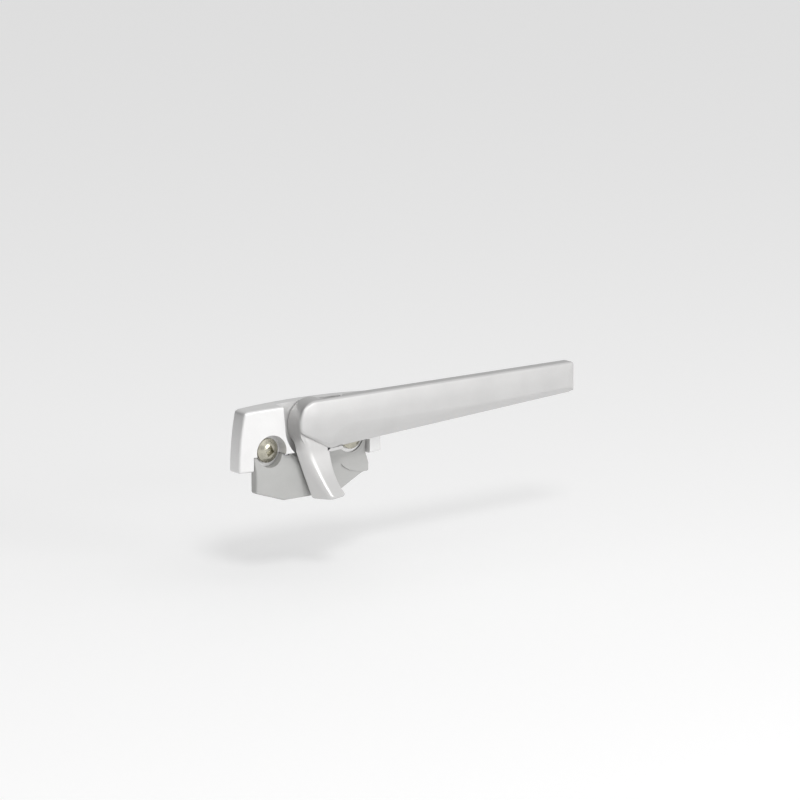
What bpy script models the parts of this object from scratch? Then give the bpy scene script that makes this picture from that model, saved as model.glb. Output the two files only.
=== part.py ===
"""Casement sash fastener: a lever handle with a cam nose, on a screwed base.

Every piece is drawn as seen from the front of the sash, in three drawing axes:
x runs along the closed lever, y runs up the window and z comes out from the sash.
Two empties lay that drawing against the sash, so drawing y becomes world +Z and
drawing z becomes world -Y. The origin is on the pivot axis, on the back face.
"""
import math

import bmesh
import bpy

MM = 0.001

# Clearances between pieces.
GAP = 0.3 * MM
SEAT_GAP = 0.2 * MM

# Base casting.
BASE_WIDTH = 60.4 * MM
BASE_BOTTOM = 14.0 * MM
SHOULDER_HEIGHT = 6.9 * MM
SHOULDER_INSET = 2.2 * MM
ARCH_HEIGHT = 8.2 * MM
ARCH_PEAK_X = -3.0 * MM
TOP_DRAFT = 0.6 * MM
END_FACE_Z = 6.1 * MM
FACE_SLOPE = 0.139
WALL = 1.4 * MM
BASE_EDGE = 0.6 * MM
FLOOR_TOP = 4.2 * MM
FLOOR_THICKNESS = 1.4 * MM
CORE_ROOF = 1.8 * MM
CORE_TOP = 4.6 * MM

# Gasket and steel plate inside the back of the base.
GASKET_THICKNESS = 0.9 * MM
GASKET_PROUD = 0.2 * MM

# Grey nylon apron under the nose.
FOOT_WIDTH = 5.9 * MM
APRON_TOP = 9.2 * MM
APRON_BOTTOM = 25.2 * MM
APRON_END_BOTTOM = 21.4 * MM
APRON_FLAT_HALF = 12.8 * MM
APRON_FOLD_Y = -13.8 * MM
APRON_TOP_Z = 6.6 * MM
APRON_FOLD_Z = 7.9 * MM
APRON_LIP_Z = 8.4 * MM
LANDING_EDGE_X = 9.0 * MM
LANDING_TOP_Z = 4.9 * MM
LANDING_FOLD_Y = -17.0 * MM
LANDING_FOLD_Z = 6.3 * MM
CHANNEL_LEFT = 3.0 * MM
CHANNEL_FLOOR_Z = 5.4 * MM

# Fixing screws and their pockets.
SCREW_X = 17.8 * MM
SCREW_Y = -7.5 * MM
SCREW_HEAD_RADIUS = 4.25 * MM
SCREW_HEAD_HEIGHT = 2.3 * MM
SCREW_SHANK_RADIUS = 2.1 * MM
SCREW_LENGTH = 16.0 * MM
SQUARE_DRIVE = 2.8 * MM
SQUARE_DEPTH = 1.5 * MM
POCKET_CLEARANCE = 1.35 * MM

# Screws that hold the apron, from behind.
APRON_SCREW_Y = -10.2 * MM
APRON_SCREW_MARGIN = 2.0 * MM
SMALL_SHANK_RADIUS = 0.9 * MM
SMALL_HEAD_RADIUS = 1.9 * MM
APRON_SCREW_REACH = 1.8 * MM

# Pivot.
SPINDLE_RADIUS = 3.2 * MM
SPINDLE_FLANGE_RADIUS = 5.9 * MM
SPINDLE_FLANGE = 1.1 * MM
SPINDLE_TAIL_RADIUS = 3.0 * MM
BUSH_WALL = 1.0 * MM
THRUST_THICKNESS = 0.6 * MM
WAVE_THICKNESS = 0.3 * MM
WAVE_HEIGHT = 0.12 * MM
WAVES = 3
CLAMP_THICKNESS = 0.8 * MM
CLAMP_SCREW_RADIUS = 1.35 * MM
CLAMP_HEAD_RADIUS = 2.9 * MM
CLAMP_HEAD_HEIGHT = 1.4 * MM
CLAMP_SCREW_LENGTH = 5.6 * MM

# Hub casting with its nose and tang.
HUB_RADIUS = 8.8 * MM
HUB_TOP = 11.6 * MM
HUB_COUNTERBORE = 2.7 * MM
HUB_RIM_WALL = 2.1 * MM
NOSE_SHOULDER = 3.8 * MM
NOSE_SWEEP_CLEARANCE = 0.45 * MM
NOSE_REACH = 25.5 * MM
NOSE_ROOT_Y = -8.5 * MM
NOSE_FLARE = 1.4
STOP_PIN_RADIUS = 0.8 * MM
STOP_PIN_ANGLE = math.radians(200)
STOP_PIN_HOLD = 1.8 * MM
TANG_LENGTH = 34.0 * MM
TANG_WIDTH = 8.0 * MM
TANG_THICKNESS = 2.0 * MM
OPEN_ANGLE = math.radians(90)

# Lever shell.
GRIP_SWEEP_CLEARANCE = 0.85 * MM
GRIP_SKIN = 1.1 * MM
GRIP_WALL = 1.5 * MM
GRIP_EDGE = 0.9 * MM
GRIP_TIP_X = 111.2 * MM
GRIP_TOP_Y = 9.2 * MM
GRIP_TIP_TOP_Y = 8.9 * MM
GRIP_TIP_BOTTOM_Y = -2.5 * MM
GRIP_OVERHANG = 0.8 * MM
GRIP_CORNER = 6.8 * MM
GRIP_TIP_CORNER = 0.8 * MM
GRIP_LOW_RADIUS = 5.0 * MM
GRIP_LOW_X = 5.0 * MM
GRIP_LOW_Y = -8.9 * MM
GRIP_SEAM_Y = -1.6 * MM
GRIP_BEVEL_DROP = 2.6 * MM
GRIP_BEVEL_BACK = 2.4 * MM
GRIP_BEVEL_START = 10.0 * MM
GRIP_SCREW_X = (17.0 * MM, 28.0 * MM)
GRIP_SCREW_Y = 0.8 * MM
GRIP_SCREW_REACH = 1.7 * MM
BACK_STRIP_THICKNESS = 1.2 * MM

# Places that follow from the sizes above.
APRON_HALF_WIDTH = BASE_WIDTH / 2 - FOOT_WIDTH
POCKET_RADIUS = SCREW_HEAD_RADIUS + POCKET_CLEARANCE
APRON_SCREW_SPACING = math.sqrt(
    (POCKET_RADIUS + APRON_SCREW_MARGIN) ** 2 - (SCREW_Y - APRON_SCREW_Y) ** 2
)
APRON_SCREW_X = SCREW_X - APRON_SCREW_SPACING
RECESS_RADIUS = HUB_RADIUS + NOSE_SHOULDER
RECESS_EDGE_Z = END_FACE_Z + FACE_SLOPE * (BASE_WIDTH / 2 - RECESS_RADIUS)
CUTOUT_TOP = GAP - APRON_TOP
PLATE_BACK = GASKET_THICKNESS + GAP
PLATE_FRONT = FLOOR_TOP - FLOOR_THICKNESS - GAP
FLANGE_TOP = FLOOR_TOP - FLOOR_THICKNESS + SPINDLE_FLANGE
HUB_BOTTOM = FLOOR_TOP + GAP
THRUST_BACK = FLANGE_TOP + GAP
BORE_BOTTOM = THRUST_BACK + THRUST_THICKNESS + GAP
BORE_TOP = HUB_TOP - HUB_COUNTERBORE
BUSH_INNER = SPINDLE_RADIUS + GAP
BUSH_OUTER = BUSH_INNER + BUSH_WALL
WAVE_BACK = BORE_TOP + GAP
CLAMP_BACK = WAVE_BACK + WAVE_THICKNESS + 2 * WAVE_HEIGHT + GAP
SPINDLE_TOP = CLAMP_BACK - GAP
CLAMP_SEAT = CLAMP_BACK + CLAMP_THICKNESS + GAP
CLAMP_RADIUS = HUB_RADIUS - HUB_RIM_WALL - GAP
STOP_PIN_ORBIT = (SPINDLE_FLANGE_RADIUS + GAP + HUB_RADIUS) / 2
GRIP_BACK = RECESS_EDGE_Z + GRIP_SWEEP_CLEARANCE
GRIP_CEILING = CLAMP_SEAT + CLAMP_HEAD_HEIGHT + GAP
GRIP_FRONT = GRIP_CEILING + GRIP_SKIN
GRIP_LEFT_X = -(HUB_RADIUS + GRIP_OVERHANG)
TANG_BACK = GRIP_BACK + GAP
TANG_FRONT = TANG_BACK + TANG_THICKNESS

PARTS = "casement_sash_fastener"
CUTTERS = "cutters"


# ---------------------------------------------------------------- scene set-up

def clear_scene():
    for old in list(bpy.data.objects):
        bpy.data.objects.remove(old)
    for name in (PARTS, CUTTERS):
        collection = bpy.data.collections.new(name)
        bpy.context.scene.collection.children.link(collection)


def drawing_frame(name):
    """An empty that turns the front-view drawing to stand against the sash."""
    empty = bpy.data.objects.new(name, None)
    empty.rotation_euler = (math.pi / 2, 0, 0)
    bpy.data.collections[PARTS].objects.link(empty)
    return empty


def material(name, colour, roughness, metallic):
    made = bpy.data.materials.new(name)
    made.use_nodes = True
    shader = made.node_tree.nodes["Principled BSDF"]
    shader.inputs["Base Color"].default_value = (*colour, 1)
    shader.inputs["Roughness"].default_value = roughness
    shader.inputs["Metallic"].default_value = metallic
    return made


def file_under(thing, collection):
    for other in list(thing.users_collection):
        other.objects.unlink(thing)
    bpy.data.collections[collection].objects.link(thing)


def as_piece(thing, name, frame, finish):
    thing.name = name
    thing.data.name = name
    thing.parent = frame
    thing.data.materials.clear()
    thing.data.materials.append(finish)
    file_under(thing, PARTS)
    return thing


def as_cutter(thing, name, frame):
    thing.name = name
    thing.parent = frame
    thing.hide_render = True
    thing.display_type = "WIRE"
    file_under(thing, CUTTERS)
    return thing


def boolean(target, tool, operation):
    step = target.modifiers.new(tool.name, "BOOLEAN")
    step.operation = operation
    step.solver = "EXACT"
    step.object = tool


def cut(target, tool, name):
    boolean(target, as_cutter(tool, name, target.parent), "DIFFERENCE")


def keep_inside(target, tool, name):
    boolean(target, as_cutter(tool, name, target.parent), "INTERSECT")


def join(target, tool, name):
    boolean(target, as_cutter(tool, name, target.parent), "UNION")


def bevel_edges(thing, width, segments, angle):
    step = thing.modifiers.new("rounded_edges", "BEVEL")
    step.width = width
    step.segments = segments
    step.limit_method = "ANGLE"
    step.angle_limit = math.radians(angle)
    step.harden_normals = False


# ---------------------------------------------------------------- shape makers

def arc(centre, radius, start, end, steps):
    """Points on a circle from one angle to another, in degrees."""
    angles = [math.radians(start + (end - start) * i / steps) for i in range(steps + 1)]
    return [(centre[0] + radius * math.cos(a), centre[1] + radius * math.sin(a)) for a in angles]


def plate(points, back, front):
    """A flat outline in x and y, from the height back to the height front."""
    curve = bpy.data.curves.new("outline", "CURVE")
    curve.dimensions = "2D"
    curve.fill_mode = "BOTH"
    curve.extrude = (front - back) / 2
    spline = curve.splines.new("POLY")
    spline.points.add(len(points) - 1)
    for point, (x, y) in zip(spline.points, points):
        point.co = (x, y, 0, 1)
    spline.use_cyclic_u = True
    drawn = bpy.data.objects.new("outline", curve)
    bpy.context.scene.collection.objects.link(drawn)
    graph = bpy.context.evaluated_depsgraph_get()
    mesh = bpy.data.meshes.new_from_object(drawn.evaluated_get(graph))
    bpy.data.objects.remove(drawn)
    solid = bmesh.new()
    solid.from_mesh(mesh)
    bmesh.ops.remove_doubles(solid, verts=solid.verts, dist=0.000001)
    bmesh.ops.translate(solid, verts=solid.verts, vec=(0, 0, (front + back) / 2))
    bmesh.ops.dissolve_limit(solid, angle_limit=math.radians(0.5), verts=solid.verts, edges=solid.edges)
    bmesh.ops.recalc_face_normals(solid, faces=solid.faces)
    solid.to_mesh(mesh)
    solid.free()
    mesh.shade_flat()
    made = bpy.data.objects.new("plate", mesh)
    bpy.context.scene.collection.objects.link(made)
    return made


def side_prism(profile, left, right):
    """A profile in y and z, drawn from the side and carried from left to right."""
    made = plate([(z, y) for y, z in profile], left, right)
    for vertex in made.data.vertices:
        z, y, x = vertex.co
        vertex.co = (x, y, z)
    make_outward(made)
    return made


def top_prism(profile, bottom, top):
    """A profile in x and z, drawn from above and carried from bottom to top."""
    made = plate(profile, bottom, top)
    for vertex in made.data.vertices:
        x, z, y = vertex.co
        vertex.co = (x, y, z)
    make_outward(made)
    return made


def make_outward(thing):
    solid = bmesh.new()
    solid.from_mesh(thing.data)
    bmesh.ops.recalc_face_normals(solid, faces=solid.faces)
    solid.to_mesh(thing.data)
    solid.free()


def disc(radius, back, front, centre=(0, 0), sides=48):
    middle = (centre[0], centre[1], (front + back) / 2)
    bpy.ops.mesh.primitive_cylinder_add(vertices=sides, radius=radius, depth=front - back, location=middle)
    return bpy.context.object


def block(left, right, bottom, top, back, front):
    bpy.ops.mesh.primitive_cube_add(size=1)
    made = bpy.context.object
    for vertex in made.data.vertices:
        x, y, z = vertex.co
        vertex.co = (
            left + (x + 0.5) * (right - left),
            bottom + (y + 0.5) * (top - bottom),
            back + (z + 0.5) * (front - back),
        )
    return made


def turned(profile, sides, centre=(0, 0)):
    """A profile of radius and height, spun about the line through centre."""
    mesh = bpy.data.meshes.new("turned")
    edges = [(i, i + 1) for i in range(len(profile) - 1)]
    mesh.from_pydata([(radius, 0, height) for radius, height in profile], edges, [])
    made = bpy.data.objects.new("turned", mesh)
    bpy.context.scene.collection.objects.link(made)
    made.location = (centre[0], centre[1], 0)
    spin = made.modifiers.new("spin", "SCREW")
    spin.axis = "Z"
    spin.steps = sides
    spin.render_steps = sides
    spin.use_merge_vertices = True
    spin.merge_threshold = 0.00001
    spin.use_smooth_shade = True
    return made


def ring(inner, outer, back, front, sides=40):
    """A plain washer: a closed square profile spun about the pivot."""
    profile = [(inner, front), (outer, front), (outer, back), (inner, back), (inner, front)]
    return turned(profile, sides)


# ---------------------------------------------------------------- base outline

def face_height(x):
    """Height of the sloping front face of the base at a place along x."""
    return END_FACE_Z + FACE_SLOPE * (BASE_WIDTH / 2 - abs(x))


def base_outline(inset):
    """Outline of the base: straight foot, sides that lean in, arched top."""
    half = BASE_WIDTH / 2 - inset
    shoulder = half - SHOULDER_INSET
    bottom = -BASE_BOTTOM + inset
    steps = 6
    side = []
    for i in range(steps + 1):
        t = i / steps
        y = bottom + (SHOULDER_HEIGHT - inset - bottom) * t
        side.append((half - SHOULDER_INSET * t * t, y))
    arch = []
    arch_steps = 14
    peak = ARCH_HEIGHT - inset
    for i in range(1, arch_steps):
        x = shoulder - 2 * shoulder * i / arch_steps
        reach = shoulder + abs(ARCH_PEAK_X)
        drop = ((x - ARCH_PEAK_X) / reach) ** 2
        arch.append((x, peak - (ARCH_HEIGHT - SHOULDER_HEIGHT) * drop))
    left = [(-x, y) for x, y in reversed(side)]
    return side + arch + left


def recess_outline(radius, top):
    """A U shape open at the top: half round under the pivot, straight above it."""
    bottom = arc((0, 0), radius, 180, 360, 28)
    return bottom + [(radius, top), (-radius, top)]


# ---------------------------------------------------------------- base pieces

def base_cover(frame, finish):
    """Die-cast base: sloping faces, hub recess, apron cut-out and screw pockets."""
    cover = plate(base_outline(0), GASKET_PROUD, face_height(0) + BASE_EDGE)
    as_piece(cover, "base_cover", frame, finish)
    front = face_height(0)
    for vertex in cover.data.vertices:
        if vertex.co.z > front and vertex.co.y > 0:
            vertex.co.y -= TOP_DRAFT * vertex.co.y / ARCH_HEIGHT
    half = BASE_WIDTH
    roof = [
        (-half, -half), (half, -half), (half, face_height(half)),
        (0, face_height(0)), (-half, face_height(half)),
    ]
    keep_inside(cover, top_prism(roof, -half, half), "base_roof")
    bevel_edges(cover, BASE_EDGE, 2, 28)
    cavity_top = FLOOR_TOP - FLOOR_THICKNESS
    cut(cover, plate(base_outline(WALL), -GAP, cavity_top), "base_cavity")
    high = 2 * front
    cut(cover, plate(recess_outline(RECESS_RADIUS, 2 * ARCH_HEIGHT), FLOOR_TOP, high), "hub_recess")
    side = APRON_HALF_WIDTH + GAP
    cut(cover, block(-side, side, -2 * BASE_BOTTOM, CUTOUT_TOP, FLOOR_TOP, high), "apron_cutout")
    cut(cover, disc(SPINDLE_FLANGE_RADIUS + GAP, 0, high), "spindle_opening")
    cut(cover, stop_window(), "stop_pin_window")
    for side_name, side_sign in (("left", -1), ("right", 1)):
        centre = (side_sign * SCREW_X, SCREW_Y)
        cut(cover, disc(POCKET_RADIUS, FLOOR_TOP, high, centre), "cover_pocket_" + side_name)
        hole = SCREW_SHANK_RADIUS + GAP
        cut(cover, disc(hole, 0, high, centre, 24), "cover_screw_hole_" + side_name)
        small = SMALL_SHANK_RADIUS + GAP
        centre = (side_sign * APRON_SCREW_X, APRON_SCREW_Y)
        cut(cover, disc(small, 0, high, centre, 20), "cover_apron_hole_" + side_name)
        cut(cover, panel_core(side_sign), "panel_core_" + side_name)
    return cover


def panel_core(side_sign):
    """Hollow behind one sloping face, which follows the slope of that face."""
    inner = RECESS_RADIUS + WALL
    outer = BASE_WIDTH / 2 - SHOULDER_INSET - WALL
    profile = [
        (inner, 0), (outer, 0),
        (outer, face_height(outer) - CORE_ROOF), (inner, face_height(inner) - CORE_ROOF),
    ]
    bottom = SCREW_Y + POCKET_RADIUS + WALL
    return top_prism([(side_sign * x, z) for x, z in profile], bottom, CORE_TOP)


def stop_window():
    """Arc slot in the floor that the stop pin runs in, from closed to open."""
    slack = (STOP_PIN_RADIUS + GAP) / STOP_PIN_ORBIT
    start = math.degrees(STOP_PIN_ANGLE - slack)
    end = math.degrees(STOP_PIN_ANGLE + OPEN_ANGLE + slack)
    outer = arc((0, 0), STOP_PIN_ORBIT + STOP_PIN_RADIUS + GAP, start, end, 18)
    inner = arc((0, 0), SPINDLE_FLANGE_RADIUS, end, start, 18)
    return plate(outer + inner, 0, 2 * FLOOR_TOP)


def backing_sheet(name, frame, finish, inset, back, front):
    """A flat sheet in the back of the base, with holes for the four screws."""
    sheet = as_piece(plate(base_outline(inset), back, front), name, frame, finish)
    for side_name, side_sign in (("left", -1), ("right", 1)):
        centre = (side_sign * SCREW_X, SCREW_Y)
        hole = SCREW_SHANK_RADIUS + GAP
        cut(sheet, disc(hole, back - GAP, front + GAP, centre, 24), name + "_screw_hole_" + side_name)
    return sheet


def base_gasket(frame, finish):
    gasket = backing_sheet("base_gasket", frame, finish, WALL + GAP, 0, GASKET_THICKNESS)
    for side_name, side_sign in (("left", -1), ("right", 1)):
        centre = (side_sign * APRON_SCREW_X, APRON_SCREW_Y)
        room = SMALL_HEAD_RADIUS + GAP
        relief = disc(room, -GAP, GASKET_THICKNESS + GAP, centre, 20)
        cut(gasket, relief, "gasket_head_relief_" + side_name)
    return gasket


def base_plate(frame, finish):
    sheet = backing_sheet("base_plate", frame, finish, WALL + GAP, PLATE_BACK, PLATE_FRONT)
    bore = disc(SPINDLE_TAIL_RADIUS + SEAT_GAP, PLATE_BACK - GAP, PLATE_FRONT + GAP)
    cut(sheet, bore, "plate_spindle_bore")
    for side_name, side_sign in (("left", -1), ("right", 1)):
        centre = (side_sign * APRON_SCREW_X, APRON_SCREW_Y)
        hole = disc(SMALL_SHANK_RADIUS + SEAT_GAP, 0, PLATE_FRONT + GAP, centre, 20)
        cut(sheet, hole, "plate_apron_hole_" + side_name)
    return sheet


def apron_outline():
    top = -APRON_TOP
    half = APRON_HALF_WIDTH
    return [
        (-half, top), (-half, -APRON_END_BOTTOM), (-APRON_FLAT_HALF, -APRON_BOTTOM),
        (APRON_FLAT_HALF, -APRON_BOTTOM), (half, -APRON_END_BOTTOM), (half, top),
    ]


def apron(frame, finish):
    """Nylon wedge under the nose: a high left cheek and a low landing on the right."""
    back = FLOOR_TOP + GAP
    below = -APRON_BOTTOM - GAP
    profile = [
        (-APRON_TOP, back), (-APRON_TOP, APRON_TOP_Z), (APRON_FOLD_Y, APRON_FOLD_Z),
        (below, APRON_LIP_Z), (below, back),
    ]
    width = 2 * APRON_HALF_WIDTH
    piece = as_piece(side_prism(profile, -width, width), "apron", frame, finish)
    keep_inside(piece, plate(apron_outline(), 0, 2 * APRON_LIP_Z), "apron_shape")
    bevel_edges(piece, BASE_EDGE, 1, 40)
    high = 2 * APRON_LIP_Z
    landing = [
        (-APRON_TOP + GAP, LANDING_TOP_Z), (APRON_FOLD_Y, LANDING_TOP_Z), (LANDING_FOLD_Y, LANDING_FOLD_Z),
        (below - GAP, LANDING_FOLD_Z + GAP), (below - GAP, high), (-APRON_TOP + GAP, high),
    ]
    cut(piece, side_prism(landing, LANDING_EDGE_X, width), "apron_landing")
    cut(piece, plate(channel_outline(), CHANNEL_FLOOR_Z, high), "apron_channel")
    cut(piece, disc(RECESS_RADIUS + GAP, 0, high), "apron_hub_clearance")
    for side_name, side_sign in (("left", -1), ("right", 1)):
        pocket = disc(POCKET_RADIUS, 0, high, (side_sign * SCREW_X, SCREW_Y))
        cut(piece, pocket, "apron_pocket_" + side_name)
        centre = (side_sign * APRON_SCREW_X, APRON_SCREW_Y)
        hole = disc(SMALL_SHANK_RADIUS + SEAT_GAP, 0, back + APRON_SCREW_REACH + GAP, centre, 20)
        cut(piece, hole, "apron_screw_hole_" + side_name)
    return piece


def channel_outline():
    """Hollow beside the closed nose, open at the foot of the apron."""
    left = CHANNEL_LEFT
    below = -APRON_BOTTOM - GAP
    return [
        (left, 0), (LANDING_EDGE_X + 2 * MM, 0), (LANDING_EDGE_X + 2.6 * MM, APRON_FOLD_Y),
        (LANDING_EDGE_X + 4.5 * MM, LANDING_FOLD_Y), (LANDING_EDGE_X + 8.2 * MM, LANDING_FOLD_Y - 2.2 * MM),
        (LANDING_EDGE_X + 6 * MM, below), (left, below),
    ]


def fixing_screw(side_name, side_sign, frame, finish):
    """Pan-head screw with a square drive, through the base into the sash."""
    seat = FLOOR_TOP + GAP
    crown = seat + SCREW_HEAD_HEIGHT
    rim = seat + 0.45 * SCREW_HEAD_HEIGHT
    drop = SCREW_HEAD_RADIUS - SCREW_HEAD_HEIGHT / 2
    end = seat - SCREW_LENGTH
    profile = [
        (0, crown), (drop, crown - 0.1 * MM), (0.9 * SCREW_HEAD_RADIUS, crown - 0.6 * MM),
        (SCREW_HEAD_RADIUS, rim), (SCREW_HEAD_RADIUS, seat), (SCREW_SHANK_RADIUS, seat),
        (SCREW_SHANK_RADIUS, end + 2 * SCREW_SHANK_RADIUS), (0, end),
    ]
    centre = (side_sign * SCREW_X, SCREW_Y)
    screw = as_piece(turned(profile, 32, centre), "fixing_screw_" + side_name, frame, finish)
    half = SQUARE_DRIVE / 2
    drive = block(-half, half, -half, half, crown - SQUARE_DEPTH, crown + GAP)
    drive.location = (centre[0], centre[1], 0)
    drive.rotation_euler = (0, 0, math.radians(30))
    cut(screw, drive, "square_drive_" + side_name)
    return screw


def apron_screw(side_name, side_sign, frame, finish):
    """Small screw from behind the steel plate into the apron."""
    centre = (side_sign * APRON_SCREW_X, APRON_SCREW_Y)
    top = FLOOR_TOP + GAP + APRON_SCREW_REACH
    profile = [
        (0, top), (SMALL_SHANK_RADIUS, top), (SMALL_SHANK_RADIUS, GASKET_THICKNESS),
        (SMALL_HEAD_RADIUS, GASKET_THICKNESS), (SMALL_HEAD_RADIUS, GASKET_PROUD), (0, GASKET_PROUD),
    ]
    return as_piece(turned(profile, 20, centre), "apron_screw_" + side_name, frame, finish)


# ---------------------------------------------------------------- pivot pieces

def spindle(frame, finish):
    """Turned steel post, riveted into the plate, with a tapped hole in its end."""
    hole = CLAMP_SCREW_RADIUS + SEAT_GAP
    hole_end = CLAMP_SEAT - CLAMP_SCREW_LENGTH - GAP
    flange_back = PLATE_FRONT + GAP
    profile = [
        (0, hole_end), (hole, hole_end), (hole, SPINDLE_TOP), (SPINDLE_RADIUS, SPINDLE_TOP),
        (SPINDLE_RADIUS, FLANGE_TOP), (SPINDLE_FLANGE_RADIUS, FLANGE_TOP),
        (SPINDLE_FLANGE_RADIUS, flange_back), (SPINDLE_TAIL_RADIUS, flange_back),
        (SPINDLE_TAIL_RADIUS, PLATE_BACK), (0, PLATE_BACK),
    ]
    return as_piece(turned(profile, 40), "spindle", frame, finish)


def thrust_washer(frame, finish):
    washer = ring(BUSH_INNER, SPINDLE_FLANGE_RADIUS, THRUST_BACK, THRUST_BACK + THRUST_THICKNESS)
    return as_piece(washer, "thrust_washer", frame, finish)


def pivot_bush(frame, finish):
    sleeve = ring(BUSH_INNER, BUSH_OUTER, BORE_BOTTOM, BORE_TOP - GAP)
    return as_piece(sleeve, "pivot_bush", frame, finish)


def wave_washer(frame, finish):
    """Thin spring ring bent into even waves, which gives the lever its drag."""
    sides = 48
    shape = bmesh.new()
    bmesh.ops.create_cone(
        shape, cap_ends=False, segments=sides,
        radius1=CLAMP_RADIUS, radius2=CLAMP_RADIUS, depth=WAVE_THICKNESS,
    )
    rims = bmesh.ops.extrude_edge_only(shape, edges=[e for e in shape.edges if e.is_boundary])
    for vertex in [v for v in rims["geom"] if isinstance(v, bmesh.types.BMVert)]:
        vertex.co.x *= BUSH_INNER / CLAMP_RADIUS
        vertex.co.y *= BUSH_INNER / CLAMP_RADIUS
    open_rims = [e for e in shape.edges if e.is_boundary]
    bmesh.ops.bridge_loops(shape, edges=open_rims)
    for vertex in shape.verts:
        turn = math.atan2(vertex.co.y, vertex.co.x)
        vertex.co.z += WAVE_BACK + WAVE_THICKNESS / 2 + WAVE_HEIGHT * (1 + math.sin(WAVES * turn))
    bmesh.ops.recalc_face_normals(shape, faces=shape.faces)
    mesh = bpy.data.meshes.new("wave_washer")
    shape.to_mesh(mesh)
    shape.free()
    washer = bpy.data.objects.new("wave_washer", mesh)
    bpy.context.scene.collection.objects.link(washer)
    return as_piece(washer, "wave_washer", frame, finish)


def clamp_washer(frame, finish):
    washer = ring(CLAMP_SCREW_RADIUS + GAP, CLAMP_RADIUS, CLAMP_BACK, CLAMP_BACK + CLAMP_THICKNESS)
    return as_piece(washer, "clamp_washer", frame, finish)


def clamp_screw(frame, finish):
    seat = CLAMP_SEAT
    end = seat - CLAMP_SCREW_LENGTH
    crown = seat + CLAMP_HEAD_HEIGHT
    profile = [
        (0, crown), (0.6 * CLAMP_HEAD_RADIUS, crown), (CLAMP_HEAD_RADIUS, seat + 0.4 * CLAMP_HEAD_HEIGHT),
        (CLAMP_HEAD_RADIUS, seat), (CLAMP_SCREW_RADIUS, seat), (CLAMP_SCREW_RADIUS, end), (0, end),
    ]
    screw = as_piece(turned(profile, 24), "clamp_screw", frame, finish)
    half = 0.45 * CLAMP_HEAD_RADIUS
    slot = block(-half, half, -half, half, crown - 0.5 * CLAMP_HEAD_HEIGHT, crown + GAP)
    cut(screw, slot, "clamp_screw_drive")
    return screw


# ---------------------------------------------------------------- handle pieces

def nose_sections():
    """Four-sided sections of the nose, each as y and four points of x and z.

    The points are the left lower edge, the ridge, the right front edge and the
    right lower edge. The first section is inside the hub. From the root on, the
    edges run straight towards the tip in x and flare outwards in z.
    """
    low = RECESS_EDGE_Z + NOSE_SWEEP_CLEARANCE
    root = ((-HUB_RADIUS, low), (-4.6 * MM, 12.3 * MM), (5.2 * MM, 10.8 * MM), (6.0 * MM, low))
    tip = ((-3.5 * MM, low + 1.5 * MM), (0.5 * MM, 17.0 * MM), (7.2 * MM, 15.2 * MM), (7.1 * MM, 11.6 * MM))
    inside = HUB_RADIUS * 0.8
    front = HUB_TOP - GAP
    back = HUB_BOTTOM + 2 * GAP
    sections = [(NOSE_ROOT_Y * 0.4, [(-inside, back), (-inside, front), (inside, front), (inside, back)])]
    tip_y = 1.1 * MM - NOSE_REACH
    for step in range(5):
        t = step / 4
        flare = t ** NOSE_FLARE
        points = []
        for (x0, z0), (x1, z1) in zip(root, tip):
            points.append((x0 + (x1 - x0) * t, z0 + (z1 - z0) * flare))
        sections.append((NOSE_ROOT_Y + (tip_y - NOSE_ROOT_Y) * t, points))
    last = sections[-1][1]
    middle = (sum(x for x, z in last) / 4, sum(z for x, z in last) / 4)
    end = [(x + (middle[0] - x) * 0.15, z + (middle[1] - z) * 0.15) for x, z in last]
    sections.append((-NOSE_REACH, end))
    return sections


def nose():
    """The cam nose: a loft between unlike four-sided sections."""
    solid = bmesh.new()
    rings = []
    for y, corners in nose_sections():
        rings.append([solid.verts.new((x, y, z)) for x, z in corners])
    for upper, lower in zip(rings, rings[1:]):
        for i in range(4):
            j = (i + 1) % 4
            solid.faces.new((upper[i], upper[j], lower[j], lower[i]))
    solid.faces.new(rings[0])
    solid.faces.new(rings[-1])
    bmesh.ops.recalc_face_normals(solid, faces=solid.faces)
    mesh = bpy.data.meshes.new("nose")
    solid.to_mesh(mesh)
    solid.free()
    made = bpy.data.objects.new("nose", mesh)
    bpy.context.scene.collection.objects.link(made)
    return made


def hub_casting(frame, finish):
    """Die-cast hub with the cam nose below it and the tang inside the lever."""
    hub = as_piece(disc(HUB_RADIUS, HUB_BOTTOM, HUB_TOP, sides=64), "hub_casting", frame, finish)
    join(hub, nose(), "nose_loft")
    low = GRIP_SCREW_Y - TANG_WIDTH / 2
    high = GRIP_SCREW_Y + TANG_WIDTH / 2
    tang = block(0, TANG_LENGTH, low, high, TANG_BACK, TANG_FRONT)
    join(hub, tang, "lever_tang")
    cut(hub, disc(SPINDLE_FLANGE_RADIUS + GAP, 0, BORE_BOTTOM), "thrust_counterbore")
    cut(hub, disc(BUSH_OUTER + GAP, 0, 2 * HUB_TOP), "bush_bore")
    cut(hub, disc(CLAMP_RADIUS + GAP, BORE_TOP, 2 * HUB_TOP), "clamp_counterbore")
    hole_end = HUB_BOTTOM + STOP_PIN_HOLD + GAP
    cut(hub, disc(STOP_PIN_RADIUS + SEAT_GAP, 0, hole_end, stop_pin_centre(), 20), "stop_pin_hole")
    for index, x in enumerate(GRIP_SCREW_X):
        centre = (x, GRIP_SCREW_Y)
        through = disc(SMALL_SHANK_RADIUS + GAP, 0, 2 * HUB_TOP, centre, 20)
        cut(hub, through, "tang_hole_%d" % (index + 1))
        sink = disc(SMALL_HEAD_RADIUS + GAP, 0, TANG_BACK + TANG_THICKNESS / 2, centre, 24)
        cut(hub, sink, "tang_counterbore_%d" % (index + 1))
    return hub


def stop_pin_centre():
    angle = STOP_PIN_ANGLE
    return (STOP_PIN_ORBIT * math.cos(angle), STOP_PIN_ORBIT * math.sin(angle))


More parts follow.
